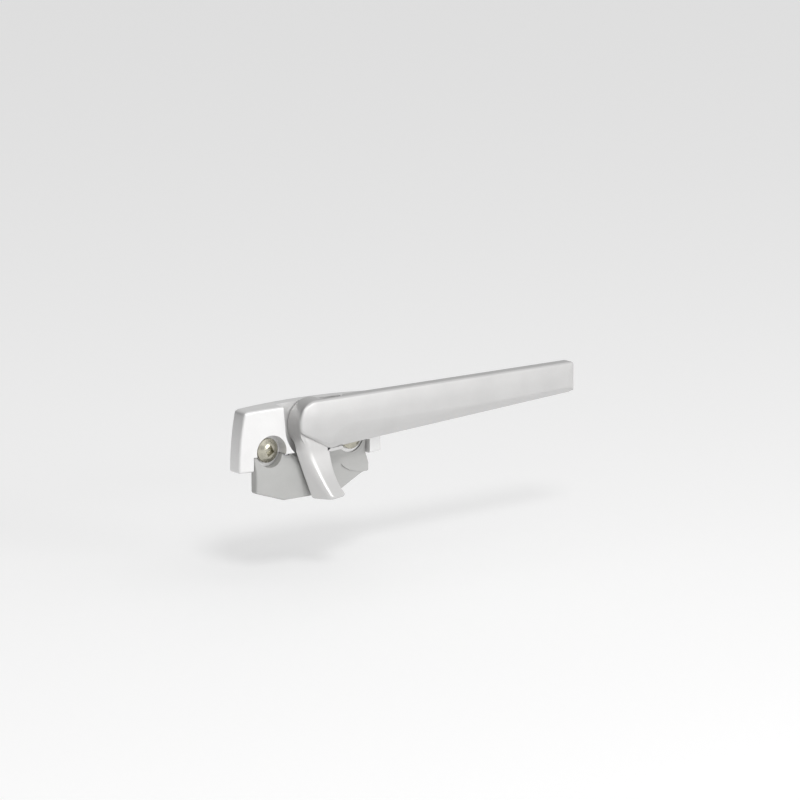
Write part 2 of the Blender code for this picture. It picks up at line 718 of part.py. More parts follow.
def stop_pin(frame, finish):
    back = FLOOR_TOP - FLOOR_THICKNESS + GAP
    pin = disc(STOP_PIN_RADIUS, back, HUB_BOTTOM + STOP_PIN_HOLD, stop_pin_centre(), 20)
    return as_piece(pin, "stop_pin", frame, finish)


def grip_outline(inset):
    """Outline of the lever: rounded head over the hub, tapering to a square tip."""
    left = GRIP_LEFT_X + inset
    top = GRIP_TOP_Y - inset
    corner = GRIP_CORNER - inset
    nip = GRIP_TIP_CORNER
    tip = GRIP_TIP_X - inset
    tip_bottom = GRIP_TIP_BOTTOM_Y + inset
    tip_top = GRIP_TIP_TOP_Y - inset
    low_centre = (GRIP_LOW_X, GRIP_LOW_Y + inset + GRIP_LOW_RADIUS)
    points = arc((left + corner, top - corner), corner, 90, 180, 8)
    points.append((left + GRIP_OVERHANG, GRIP_SEAM_Y + inset / 2))
    points += arc(low_centre, GRIP_LOW_RADIUS, 240, 278, 4)
    points += [(tip - nip, tip_bottom), (tip, tip_bottom + nip), (tip, tip_top - nip), (tip - nip, tip_top)]
    return points


def grip_bevel():
    """Wedge that takes off the lower front edge of the lever, out to the tip."""
    start_y = GRIP_LOW_Y - GRIP_BEVEL_DROP / 2
    run = GRIP_TIP_X - GRIP_BEVEL_START
    rise = GRIP_TIP_BOTTOM_Y - start_y
    shelf = GRIP_FRONT - GRIP_BEVEL_BACK
    above = GRIP_FRONT + GRIP_BEVEL_BACK
    outside = -2 * GRIP_BEVEL_DROP
    profile = [
        (0, shelf), (GRIP_BEVEL_DROP, GRIP_FRONT), (GRIP_BEVEL_DROP, above),
        (outside, above), (outside, shelf),
    ]
    wedge = side_prism(profile, 0, math.hypot(run, rise) + GRIP_BEVEL_DROP)
    wedge.location = (GRIP_BEVEL_START, start_y, 0)
    wedge.rotation_euler = (0, 0, math.atan2(rise, run))
    return wedge


def grip_cavity_outline(inset):
    """Outline of the hollow, which keeps clear of the lower bevel as well."""
    lift = GRIP_BEVEL_DROP * 0.6
    middle = (GRIP_TIP_TOP_Y + GRIP_TIP_BOTTOM_Y) / 2
    return [(x, y + lift) if (x > 0 and y < middle) else (x, y) for x, y in grip_outline(inset)]


def grip_shell(frame, finish):
    """Painted lever shell, open at the back, seated on the hub."""
    shell = as_piece(plate(grip_outline(0), GRIP_BACK, GRIP_FRONT), "grip_shell", frame, finish)
    cut(shell, grip_bevel(), "lower_bevel")
    bevel_edges(shell, GRIP_EDGE, 2, 50)
    cut(shell, plate(grip_cavity_outline(GRIP_WALL), 0, GRIP_CEILING), "grip_cavity")
    beyond = 2 * GRIP_TIP_X
    hub_room = block(-beyond, HUB_RADIUS + 2 * GAP, -beyond, beyond, 0, HUB_TOP + GAP)
    cut(shell, hub_room, "hub_clearance")
    foot = TANG_FRONT + GAP
    for index, x in enumerate(GRIP_SCREW_X):
        centre = (x, GRIP_SCREW_Y)
        boss = disc(SMALL_HEAD_RADIUS, foot, GRIP_CEILING + GAP, centre, 24)
        join(shell, boss, "grip_boss_%d" % (index + 1))
        hole = disc(SMALL_SHANK_RADIUS + SEAT_GAP, 0, foot + GRIP_SCREW_REACH - GAP, centre, 20)
        cut(shell, hole, "grip_boss_hole_%d" % (index + 1))
    return shell


def grip_back_strip(frame, finish):
    """Strip that closes the back of the lever beyond the tang."""
    strip = plate(grip_cavity_outline(GRIP_WALL + GAP), GRIP_BACK, GRIP_BACK + BACK_STRIP_THICKNESS)
    as_piece(strip, "grip_back_strip", frame, finish)
    beyond = 2 * GRIP_TIP_X
    cut(strip, block(-beyond, TANG_LENGTH + GAP, -beyond, beyond, 0, beyond), "tang_room")
    return strip


def grip_screw(index, x, frame, finish):
    """Small screw from the back of the tang into the lever shell."""
    head_top = TANG_BACK + TANG_THICKNESS / 2 - SEAT_GAP
    end = TANG_FRONT + GRIP_SCREW_REACH - 2 * GAP
    profile = [
        (0, end), (SMALL_SHANK_RADIUS, end), (SMALL_SHANK_RADIUS, head_top),
        (SMALL_HEAD_RADIUS, head_top), (SMALL_HEAD_RADIUS, TANG_BACK), (0, TANG_BACK),
    ]
    screw = turned(profile, 20, (x, GRIP_SCREW_Y))
    return as_piece(screw, "grip_screw_%d" % (index + 1), frame, finish)


# ---------------------------------------------------------------- assembly

def build():
    clear_scene()
    base = drawing_frame("base_frame")
    handle = drawing_frame("handle_pivot")
    silver = (0.78, 0.78, 0.77)
    paint = material("silver_paint", silver, 0.38, 0.35)
    lever_paint = material("lever_paint", (0.74, 0.75, 0.74), 0.36, 0.35)
    nylon = material("grey_nylon", (0.50, 0.51, 0.51), 0.55, 0.0)
    bearing = material("bearing_acetal", (0.86, 0.85, 0.80), 0.45, 0.0)
    rubber = material("gasket_rubber", (0.03, 0.03, 0.03), 0.8, 0.0)
    zinc = material("zinc_plate", (0.62, 0.60, 0.55), 0.35, 1.0)
    steel = material("bright_steel", (0.60, 0.60, 0.61), 0.3, 1.0)
    screw_zinc = material("yellow_zinc", (0.70, 0.66, 0.50), 0.3, 1.0)
    strip = material("strip_plastic", (0.45, 0.46, 0.46), 0.5, 0.0)

    base_gasket(base, rubber)
    base_plate(base, zinc)
    base_cover(base, paint)
    apron(base, nylon)
    for side_name, side_sign in (("left", -1), ("right", 1)):
        fixing_screw(side_name, side_sign, base, screw_zinc)
        apron_screw(side_name, side_sign, base, steel)
    spindle(base, steel)
    thrust_washer(base, bearing)
    pivot_bush(base, bearing)
    wave_washer(base, steel)
    clamp_washer(base, steel)
    clamp_screw(base, steel)

    hub_casting(handle, paint)
    stop_pin(handle, steel)
    grip_shell(handle, lever_paint)
    grip_back_strip(handle, strip)
    for index, x in enumerate(GRIP_SCREW_X):
        grip_screw(index, x, handle, steel)


build()
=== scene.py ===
import math

import bmesh
import bpy
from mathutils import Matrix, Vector


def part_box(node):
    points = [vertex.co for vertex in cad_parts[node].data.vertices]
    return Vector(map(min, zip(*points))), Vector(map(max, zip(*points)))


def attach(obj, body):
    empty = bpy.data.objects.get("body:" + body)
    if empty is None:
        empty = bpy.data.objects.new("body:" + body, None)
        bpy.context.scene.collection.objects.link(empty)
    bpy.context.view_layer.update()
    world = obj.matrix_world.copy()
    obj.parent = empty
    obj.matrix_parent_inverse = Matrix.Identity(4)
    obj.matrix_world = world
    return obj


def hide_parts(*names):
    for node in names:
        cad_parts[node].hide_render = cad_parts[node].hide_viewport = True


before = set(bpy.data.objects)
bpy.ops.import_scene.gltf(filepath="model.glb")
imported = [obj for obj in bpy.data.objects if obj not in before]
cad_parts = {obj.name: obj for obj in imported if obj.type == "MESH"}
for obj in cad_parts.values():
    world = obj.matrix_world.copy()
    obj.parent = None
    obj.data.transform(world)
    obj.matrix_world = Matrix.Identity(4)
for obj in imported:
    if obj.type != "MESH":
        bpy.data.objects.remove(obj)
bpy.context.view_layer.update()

MM = 0.001


# ---- Base cover -------------------------------------------------------------------------------
# The die-cast base is one piece of zinc alloy with two faces that slope away from a round recess.
# It is trimmed, tumbled and sprayed silver. The hub turns in the recess and two screws hold the base.

def pick(piece, test, kind="VERT"):
    """Enters edit mode on one piece and selects what passes the test of its middle and its normal."""
    if bpy.context.object and bpy.context.object.mode == "EDIT":
        bpy.ops.object.mode_set(mode="OBJECT")
    bpy.ops.object.select_all(action="DESELECT")
    bpy.context.view_layer.objects.active = piece
    piece.select_set(True)
    bpy.ops.object.mode_set(mode="EDIT")
    bpy.ops.mesh.select_mode(type=kind)
    bpy.ops.mesh.select_all(action="DESELECT")
    cage = bmesh.from_edit_mesh(piece.data)
    if kind == "VERT":
        for vertex in cage.verts:
            vertex.select_set(test(vertex.co, vertex.normal))
    elif kind == "FACE":
        for face in cage.faces:
            face.select_set(test(face.calc_center_median(), face.normal))
    else:
        for edge in cage.edges:
            along = edge.verts[1].co - edge.verts[0].co
            edge.select_set(test((edge.verts[0].co + edge.verts[1].co) / 2, along.normalized()))
    bmesh.update_edit_mesh(piece.data)


def leave_edit():
    bpy.ops.object.mode_set(mode="OBJECT")


def everything(place, direction):
    return True


def slab(name, points, back, front):
    """A flat outline of x and z, drawn on a many-sided disc, then extruded out from the sash."""
    bpy.ops.object.select_all(action="DESELECT")
    bpy.ops.mesh.primitive_circle_add(vertices=len(points), radius=1, fill_type="NGON")
    piece = bpy.context.object
    piece.name = name
    for vertex, (x, z) in zip(piece.data.vertices, points):
        vertex.co = (x, -back, z)
    pick(piece, everything, "FACE")
    bpy.ops.mesh.extrude_region_move(TRANSFORM_OT_translate={"value": (0, back - front, 0)})
    bpy.ops.mesh.select_all(action="SELECT")
    bpy.ops.mesh.normals_make_consistent(inside=False)
    leave_edit()
    return piece


def side_slab(name, points, left, right):
    """A side profile of distance out from the sash and height z, carried from left to right."""
    piece = slab(name, points, -left, -right)
    for vertex in piece.data.vertices:
        out, x, z = vertex.co
        vertex.co = (x, -out, z)
    pick(piece, everything, "FACE")
    bpy.ops.mesh.normals_make_consistent(inside=False)
    leave_edit()
    return piece


def peg(name, radius, back, front, centre=(0, 0), sides=96):
    """A round bar that points out from the sash."""
    bpy.ops.object.select_all(action="DESELECT")
    place = (centre[0], -(back + front) / 2, centre[1])
    bpy.ops.mesh.primitive_cylinder_add(
        vertices=sides, radius=radius, depth=abs(front - back), location=place,
        rotation=(math.pi / 2, 0, 0))
    bpy.ops.object.transform_apply(location=True, rotation=True, scale=True)
    piece = bpy.context.object
    piece.name = name
    return piece


def box_block(name, lowest, highest):
    bpy.ops.object.select_all(action="DESELECT")
    middle = [(a + b) / 2 for a, b in zip(lowest, highest)]
    size = [b - a for a, b in zip(lowest, highest)]
    bpy.ops.mesh.primitive_cube_add(size=1, location=middle, scale=size)
    bpy.ops.object.transform_apply(location=True, rotation=True, scale=True)
    piece = bpy.context.object
    piece.name = name
    return piece


def shape_with(piece, tool, operation="DIFFERENCE"):
    """Cuts or joins the piece with a tool, which is used up."""
    bpy.context.view_layer.objects.active = piece
    step = piece.modifiers.new("shape", "BOOLEAN")
    step.operation = operation
    step.solver = "EXACT"
    step.object = tool
    bpy.ops.object.modifier_apply(modifier=step.name)
    bpy.data.objects.remove(tool)


def round_edges(piece, width, segments, angle):
    bpy.context.view_layer.objects.active = piece
    step = piece.modifiers.new("rounding", "BEVEL")
    step.width = width
    step.segments = segments
    step.limit_method = "ANGLE"
    step.angle_limit = math.radians(angle)
    bpy.ops.object.modifier_apply(modifier=step.name)


DOUBLES = 0.002 * MM


def finish_mesh(piece, angle=30):
    """Merges doubles, faces the surface outwards and shades it smooth up to its real edges."""
    pick(piece, everything, "FACE")
    bpy.ops.mesh.select_all(action="SELECT")
    bpy.ops.mesh.remove_doubles(threshold=DOUBLES)
    bpy.ops.mesh.normals_make_consistent(inside=False)
    leave_edit()
    bpy.ops.object.shade_smooth_by_angle(angle=math.radians(angle))
    step = piece.modifiers.new("flat_faces_first", "WEIGHTED_NORMAL")
    step.keep_sharp = True
    bpy.ops.object.modifier_apply(modifier=step.name)


def new_finish(name, colour, roughness, metallic):
    finish = bpy.data.materials.new(name)
    finish.use_nodes = True
    shader = finish.node_tree.nodes["Principled BSDF"]
    shader.inputs["Base Color"].default_value = (*colour, 1)
    shader.inputs["Roughness"].default_value = roughness
    shader.inputs["Metallic"].default_value = metallic
    return finish


def add_node(finish, kind, **values):
    node = finish.node_tree.nodes.new(kind)
    for name, value in values.items():
        if name in node.inputs:
            node.inputs[name].default_value = value
        else:
            setattr(node, name, value)
    return node


def wire(finish, source, output, target, socket):
    finish.node_tree.links.new(source.outputs[output], target.inputs[socket])


def speckle(finish, size, detail=4.0, rough=0.6):
    """Noise whose grains have about the given size on the piece."""
    place = add_node(finish, "ShaderNodeTexCoord")
    noise = add_node(finish, "ShaderNodeTexNoise", Scale=1 / size, Detail=detail, Roughness=rough)
    wire(finish, place, "Object", noise, "Vector")
    return noise


def vary_colour(finish, noise, low, high, start=0.35, end=0.65):
    """Runs the piece's colour between two tones with the noise."""
    ramp = add_node(finish, "ShaderNodeValToRGB")
    ramp.color_ramp.elements[0].position = start
    ramp.color_ramp.elements[0].color = (*low, 1)
    ramp.color_ramp.elements[1].position = end
    ramp.color_ramp.elements[1].color = (*high, 1)
    wire(finish, noise, "Fac", ramp, "Fac")
    return ramp


def vary_roughness(finish, noise, low, high):
    span = add_node(finish, "ShaderNodeMapRange")
    span.inputs["From Min"].default_value = 0.3
    span.inputs["From Max"].default_value = 0.7
    span.inputs["To Min"].default_value = low
    span.inputs["To Max"].default_value = high
    wire(finish, noise, "Fac", span, "Value")
    wire(finish, span, "Result", finish.node_tree.nodes["Principled BSDF"], "Roughness")


def raise_grain(finish, layers):
    """Bump from several noises, each with its height in metres."""
    last = None
    for noise, height in layers:
        bump = add_node(finish, "ShaderNodeBump", Distance=height, Strength=1.0)
        wire(finish, noise, "Fac", bump, "Height")
        if last:
            wire(finish, last, "Normal", bump, "Normal")
        last = bump
    wire(finish, last, "Normal", finish.node_tree.nodes["Principled BSDF"], "Normal")


def silver_spray(name, tone, warmth, metallic):
    """Sprayed silver: fine metal flake, a soft orange peel and a slightly uneven gloss."""
    light = (tone, tone * (1 - warmth / 2), tone * (1 - warmth))
    dark = tuple(0.94 * channel for channel in light)
    finish = new_finish(name, light, 0.4, metallic)
    shader = finish.node_tree.nodes["Principled BSDF"]
    shader.inputs["Coat Weight"].default_value = 0.4
    shader.inputs["Coat Roughness"].default_value = 0.14
    flake = speckle(finish, 0.12 * MM, 2.0, 0.7)
    cloud = speckle(finish, 9 * MM, 3.0, 0.5)
    peel = speckle(finish, 1.1 * MM, 2.0, 0.5)
    tones = vary_colour(finish, flake, dark, light)
    shade = vary_colour(finish, cloud, (0.96, 0.96, 0.96), (1, 1, 1))
    mix = add_node(finish, "ShaderNodeMix", data_type="RGBA", blend_type="MULTIPLY")
    mix.inputs["Factor"].default_value = 1.0
    wire(finish, tones, "Color", mix, "A")
    wire(finish, shade, "Color", mix, "B")
    finish.node_tree.links.new(
        next(s for s in mix.outputs if s.type == "RGBA"), shader.inputs["Base Color"])
    vary_roughness(finish, cloud, 0.34, 0.44)
    raise_grain(finish, [(peel, 0.006 * MM), (flake, 0.0015 * MM)])
    return finish


cover_low, cover_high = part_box("base_cover")
apron_low, apron_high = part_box("apron")
screw_low, screw_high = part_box("fixing_screw_left")
hub_low, hub_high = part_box("hub_casting")
HALF_WIDTH = cover_high.x
BASE_FOOT = cover_low.z
BASE_CROWN = cover_high.z
COVER_BACK = -cover_high.y
GAP = 0.3 * MM
EDGE_ROUNDING = 0.75 * MM
CUT_ROUNDING = 0.22 * MM
SHOULDER_DROP = 1.3 * MM
SHOULDER_INSET = 2.2 * MM
CROWN_X = -3.0 * MM
TOP_DRAFT = 0.6 * MM
END_FACE = 6.1 * MM
FACE_SLOPE = 0.139
FLOOR = 4.2 * MM
COVER_WALL = 1.4 * MM
CAVITY_TOP = 2.8 * MM
HUB_RADIUS = 8.8 * MM
RECESS_RADIUS = HUB_RADIUS + 3.8 * MM
RECESS_MOUTH = RECESS_RADIUS + 1.5 * MM
SPINDLE_ROOM = 6.2 * MM
SCREW_HOLE = 2.4 * MM
SCREW_X = (screw_low.x + screw_high.x) / -2
SCREW_Z = (screw_low.z + screw_high.z) / 2
SCREW_HEAD = (screw_high.x - screw_low.x) / 2
POCKET = SCREW_HEAD + 1.35 * MM
APRON_TOP = -apron_high.z
APRON_HALF = apron_high.x


def face_out(x):
    return END_FACE + FACE_SLOPE * (HALF_WIDTH - abs(x))


def base_line(inset, arch_steps=40, side_steps=10):
    """Outline of the base: straight foot, sides that lean in, arched crown a little left of centre."""
    half = HALF_WIDTH - inset
    shoulder = half - SHOULDER_INSET
    foot = BASE_FOOT + inset
    rise = BASE_CROWN - SHOULDER_DROP - inset - foot
    right = []
    for step in range(side_steps + 1):
        t = step / side_steps
        right.append((half - SHOULDER_INSET * t * t, foot + rise * t))
    arch = []
    for step in range(1, arch_steps):
        x = shoulder - 2 * shoulder * step / arch_steps
        drop = ((x - CROWN_X) / (shoulder - CROWN_X)) ** 2
        arch.append((x, BASE_CROWN - inset - SHOULDER_DROP * drop))
    return right + arch + [(-x, z) for x, z in reversed(right)]


def build_cover():
    top = face_out(0) + MM
    cover = slab("base_cover_cast", base_line(0), COVER_BACK, top)
    for vertex in cover.data.vertices:
        is_front = vertex.co.y < -top + GAP
        if is_front and vertex.co.z > 0:
            vertex.co.z -= TOP_DRAFT * vertex.co.z / BASE_CROWN
    for side in (-1, 1):
        pick(cover, everything, "FACE")
        bpy.ops.mesh.select_all(action="SELECT")
        crest = Vector((0, -face_out(0), 0))
        slope = Vector((side * FACE_SLOPE, -1, 0)).normalized()
        bpy.ops.mesh.bisect(plane_co=crest, plane_no=slope, clear_outer=True, use_fill=True)
        leave_edit()
    round_edges(cover, EDGE_ROUNDING, 4, 28)
    high = 2 * top
    turns = [math.pi * (1 + i / 64) for i in range(65)]
    recess = [(RECESS_RADIUS * math.cos(turn), RECESS_RADIUS * math.sin(turn)) for turn in turns]
    recess += [(RECESS_MOUTH, 2 * BASE_CROWN), (-RECESS_MOUTH, 2 * BASE_CROWN)]
    shape_with(cover, slab("recess_tool", recess, FLOOR, high))
    side = APRON_HALF + GAP
    lowest = (-side, -high, 2 * BASE_FOOT)
    highest = (side, -FLOOR, GAP - APRON_TOP)
    shape_with(cover, box_block("apron_tool", lowest, highest))
    for sign in (-1, 1):
        shape_with(cover, peg("pocket_tool", POCKET, FLOOR, high, (sign * SCREW_X, SCREW_Z)))
    round_edges(cover, CUT_ROUNDING, 2, 50)
    shape_with(cover, slab("cavity_tool", base_line(COVER_WALL), -GAP, CAVITY_TOP))
    shape_with(cover, peg("spindle_tool", SPINDLE_ROOM, 0, high))
    for sign in (-1, 1):
        shape_with(cover, peg("screw_hole_tool", SCREW_HOLE, 0, high, (sign * SCREW_X, SCREW_Z), 32))
    finish_mesh(cover)
    return cover


cover = build_cover()
base_silver = silver_spray("base_silver_spray", 0.80, 0.01, 0.45)
cover.data.materials.append(base_silver)
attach(cover, "base")
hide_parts("base_cover")


# ---- Apron ------------------------------------------------------------------------------------
# The apron is a grey nylon wedge, moulded in one piece. It has a high cheek left of the nose, a
# channel beside it and a low landing on the right, which the nose passes over as the lever opens.

APRON_BACK = -apron_high.y
APRON_LIP = -apron_low.y
APRON_BOTTOM = apron_low.z
APRON_END = APRON_BOTTOM + 3.8 * MM
APRON_FLAT = 12.8 * MM
APRON_STEP = -20.2 * MM
APRON_STEP_WIDTH = 2.4 * MM
APRON_ROUNDING = 0.6 * MM
CHEEK_FACE = (-17.5 * MM, -8.05 * MM, -18.9 * MM)
CHEEK_LEAN = (-0.32, -17, -0.96)
APRON_TOP_OUT = 6.3 * MM
APRON_FOLD = (7.9 * MM, -13.8 * MM)
LANDING_EDGE = 9.0 * MM
LANDING_OUT = 4.9 * MM
LANDING_FOLD = (6.4 * MM, -17.2 * MM)
CHANNEL_OUT = 5.4 * MM
CHANNEL_RISE = 0.052
CHANNEL_MIDDLE = 5 * MM
APRON_SCREW = (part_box("apron_screw_right")[0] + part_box("apron_screw_right")[1]) / 2
APRON_SCREW_HOLE = 1.1 * MM
APRON_SCREW_DEPTH = 2.1 * MM


def slice_off(piece, place, outward):
    """Cuts away what lies beyond a plane and closes the cut."""
    pick(piece, everything, "FACE")
    bpy.ops.mesh.select_all(action="SELECT")
    bpy.ops.mesh.bisect(
        plane_co=place, plane_no=Vector(outward).normalized(), clear_outer=True, use_fill=True)
    leave_edit()


def build_apron():
    half = APRON_HALF
    outline = [
        (-half, -APRON_TOP), (-half, APRON_END), (-APRON_FLAT, APRON_BOTTOM),
        (APRON_FLAT, APRON_BOTTOM), (half - APRON_STEP_WIDTH, APRON_STEP), (half, APRON_STEP),
        (half, -APRON_TOP),
    ]
    piece = slab("apron_moulding", outline, APRON_BACK, APRON_LIP + MM)
    fold = Vector((0, -APRON_FOLD[0], APRON_FOLD[1]))
    upper = Vector((0, -APRON_TOP_OUT, -APRON_TOP)) - fold
    lower = fold - Vector((0, -APRON_LIP, APRON_BOTTOM))
    slice_off(piece, fold, (0, -upper.z, upper.y))
    slice_off(piece, fold, (0, -lower.z, lower.y))
    slice_off(piece, CHEEK_FACE, CHEEK_LEAN)
    round_edges(piece, APRON_ROUNDING, 3, 25)
    high = 2 * APRON_LIP
    beyond = 2 * BASE_FOOT
    landing = [
        (LANDING_OUT, GAP - APRON_TOP), (LANDING_OUT - 0.2 * MM, APRON_FOLD[1]), LANDING_FOLD,
        (LANDING_FOLD[0] - 0.2 * MM, beyond), (high, beyond), (high, GAP - APRON_TOP),
    ]
    shape_with(piece, side_slab("landing_tool", landing, LANDING_EDGE, 2 * half))
    channel = [
        (3 * MM, 0), (11 * MM, 0), (11.6 * MM, APRON_FOLD[1]), (13.5 * MM, LANDING_FOLD[1]),
        (16.2 * MM, LANDING_FOLD[1] - 1.7 * MM), (21 * MM, APRON_STEP), (21 * MM, beyond),
        (3 * MM, beyond),
    ]
    gutter = slab("channel_tool", channel, CHANNEL_OUT, high)
    for vertex in gutter.data.vertices:
        if vertex.co.y > -high / 2:
            vertex.co.y -= CHANNEL_RISE * (vertex.co.x - CHANNEL_MIDDLE)
    shape_with(piece, gutter)
    shape_with(piece, peg("hub_room_tool", RECESS_RADIUS + GAP, 0, high))
    for sign in (-1, 1):
        shape_with(piece, peg("pocket_tool", POCKET, 0, high, (sign * SCREW_X, SCREW_Z)))
    round_edges(piece, 0.28 * MM, 2, 40)
    for sign in (-1, 1):
        centre = (sign * APRON_SCREW.x, APRON_SCREW.z)
        end = APRON_BACK + APRON_SCREW_DEPTH
        shape_with(piece, peg("screw_tool", APRON_SCREW_HOLE, 0, end, centre, 24))
    finish_mesh(piece, 35)
    return piece


def nylon(name, tone):
    """Grey nylon: spark-eroded grain, a faint flow mottle and a dull gloss."""
    finish = new_finish(name, tone, 0.55, 0)
    shader = finish.node_tree.nodes["Principled BSDF"]
    shader.inputs["Specular IOR Level"].default_value = 0.4
    grain = speckle(finish, 0.22 * MM, 3.0, 0.6)
    flow = speckle(finish, 5 * MM, 3.0, 0.6)
    dark = tuple(0.95 * channel for channel in tone)
    tones = vary_colour(finish, flow, dark, tone, 0.3, 0.7)
    wire(finish, tones, "Color", shader, "Base Color")
    vary_roughness(finish, flow, 0.5, 0.62)
    raise_grain(finish, [(grain, 0.010 * MM)])
    return finish


apron = build_apron()
apron.data.materials.append(nylon("apron_nylon", (0.44, 0.44, 0.43)))
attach(apron, "base")
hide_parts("apron")


# ---- Fixing screws ----------------------------------------------------------------------------
# Two pan-head screws with a square drive, headed and thread-rolled from steel wire and plated in
# pale yellow zinc. They pass through the base and bite into the sash.

THREAD_RADIUS = 2.1 * MM
THREAD_DEPTH = 0.55 * MM
THREAD_PITCH = 1.4 * MM
THREAD_TAPER = 4.5 * MM
SOCKET_HALF = 1.55 * MM
SOCKET_DEPTH = 1.6 * MM
SOCKET_TURN = 30


def skin(name, rings, closed=True):
    """A surface over rings of points, started as a grid and closed along its seam."""
    count = len(rings[0])
    bpy.ops.object.select_all(action="DESELECT")
    columns = count if closed else count - 1
    bpy.ops.mesh.primitive_grid_add(x_subdivisions=columns, y_subdivisions=len(rings) - 1)
    piece = bpy.context.object
    piece.name = name
    across = columns + 1
    for row, ring in enumerate(rings):
        for column in range(across):
            piece.data.vertices[row * across + column].co = ring[column % count]
    pick(piece, everything, "FACE")
    bpy.ops.mesh.select_all(action="SELECT")
    bpy.ops.mesh.remove_doubles(threshold=0.001 * MM)
    bpy.ops.mesh.normals_make_consistent(inside=False)
    leave_edit()
    return piece


def close_ends(piece):
    """Caps the open ends of a tube."""
    pick(piece, everything, "EDGE")
    bpy.ops.mesh.select_all(action="DESELECT")
    bpy.ops.mesh.select_non_manifold(extend=False, use_wire=False, use_multi_face=False,
                                     use_non_contiguous=False, use_verts=False)
    bpy.ops.mesh.edge_face_add()
    bpy.ops.mesh.select_all(action="SELECT")
    bpy.ops.mesh.normals_make_consistent(inside=False)
    leave_edit()


def lathe(name, profile, centre=(0, 0), sides=96, radius_at=None):
    """A profile of radius and distance out from the sash, turned about a line out of the sash."""
    rings = []
    for radius, out in profile:
        ring = []
        for step in range(sides):
            turn = 2 * math.pi * step / sides
            reach = radius_at(radius, out, turn) if radius_at else radius
            ring.append((centre[0] + reach * math.cos(turn), -out, centre[1] + reach * math.sin(turn)))
        rings.append(ring)
    return skin(name, rings)


def rounded(centre, radius, start, end, steps):
    """Points of radius and distance out on an arc, for a lathe profile."""
    points = []
    for step in range(steps + 1):
        turn = math.radians(start + (end - start) * step / steps)
        points.append((centre[0] + radius * math.cos(turn), centre[1] + radius * math.sin(turn)))
    return points


def build_fixing_screw(side, sign):
    low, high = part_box("fixing_screw_" + side)
    seat = FLOOR + GAP
    crown = -low.y
    point = -high.y
    head = SCREW_HEAD
    rim = seat + 0.75 * MM
    centre = (sign * SCREW_X, SCREW_Z)
    dome = []
    for step in range(13):
        t = step / 12
        radius = head - 0.35 * MM - (head - 0.35 * MM) * t
        dome.append((radius, rim + 0.25 * MM + (crown - rim - 0.25 * MM) * (1 - (1 - t) ** 2.6)))
    profile = [(0, point), (0.25 * MM, point + 0.25 * MM)]
    steps = 96
    top = seat - 0.3 * MM
    for step in range(steps + 1):
        profile.append((THREAD_RADIUS, point + 0.5 * MM + (top - point - 0.5 * MM) * step / steps))
    profile += [(2.0 * MM, seat - 0.1 * MM), (THREAD_RADIUS, seat), (head - 0.25 * MM, seat)]
    profile += rounded((head - 0.25 * MM, seat + 0.25 * MM), 0.25 * MM, -90, 0, 4)
    profile += rounded((head - 0.35 * MM, rim), 0.35 * MM, 0, 70, 5) + dome[1:]

    def thread(radius, out, turn):
        if radius < 0.3 * MM or out > top + 0.01 * MM:
            return radius
        turns = (out - point) / THREAD_PITCH + turn / (2 * math.pi)
        crest = 1 - abs(2 * (turns - math.floor(turns)) - 1)
        taper = min(1, 0.25 + (out - point) / THREAD_TAPER)
        end = min(1, (top - out) / (0.8 * MM))
        depth = THREAD_DEPTH * (1 - crest ** 1.5)
        return (radius - depth) * taper if end > 0.4 else radius * taper - 0.3 * MM * (1 - end)

    screw = lathe("fixing_screw_" + side + "_rolled", profile, centre, 64, thread)
    half = SOCKET_HALF
    socket = box_block("socket_tool", (-half, -crown - MM, -half), (half, -crown + SOCKET_DEPTH, half))
    pick(socket, lambda place, normal: place.y > -crown, "VERT")
    bpy.ops.transform.resize(value=(0.82, 1, 0.82), center_override=(0, 0, 0))
    bpy.ops.mesh.select_all(action="SELECT")
    bpy.ops.transform.rotate(value=math.radians(SOCKET_TURN), orient_axis="Y", center_override=(0, 0, 0))
    bpy.ops.transform.translate(value=(centre[0], 0, centre[1]))
    leave_edit()
    shape_with(screw, socket)
    finish_mesh(screw, 38)
    return screw


def plated(name, tone, roughness, ring_size, centre=None):
    """Bright plated steel: fine turned rings about an axis, with clouded plating."""
    finish = new_finish(name, tone, roughness, 1)
    shader = finish.node_tree.nodes["Principled BSDF"]
    place = add_node(finish, "ShaderNodeTexCoord")
    move = add_node(finish, "ShaderNodeMapping")
    if centre:
        move.inputs["Location"].default_value = (-centre[0], 0, -centre[1])
    wire(finish, place, "Object", move, "Vector")
    rings = add_node(finish, "ShaderNodeTexWave", wave_type="RINGS", rings_direction="Y",
                     Scale=1 / (20 * ring_size), Distortion=1.2, Detail=2.0)
    wire(finish, move, "Vector", rings, "Vector")
    cloud = speckle(finish, 1.6 * MM, 4.0, 0.6)
    dark = tuple(0.82 * channel for channel in tone)
    tones = vary_colour(finish, cloud, dark, tone)
    wire(finish, tones, "Color", shader, "Base Color")
    vary_roughness(finish, cloud, roughness * 0.85, roughness * 1.3)
    raise_grain(finish, [(rings, 0.004 * MM), (cloud, 0.006 * MM)])
    return finish


PALE_YELLOW_ZINC = (0.52, 0.50, 0.42)
for side, sign in (("left", -1), ("right", 1)):
    screw = build_fixing_screw(side, sign)
    centre = (sign * SCREW_X, SCREW_Z)
    screw.data.materials.append(
        plated("pale_yellow_zinc_" + side, PALE_YELLOW_ZINC, 0.24, 0.16 * MM, centre))
    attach(screw, "base")
    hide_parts("fixing_screw_" + side)


# ---- Hub casting ------------------------------------------------------------------------------
# Hub, cam nose and lever tang are one zinc die casting, sprayed silver. The nose leaves the hub as
# one smooth flank, rises to a rounded ridge and swells towards its tip, which presses on the frame.
# A thin lip at the front closes the room of the clamp washer where the lever's head doesn't cover it.

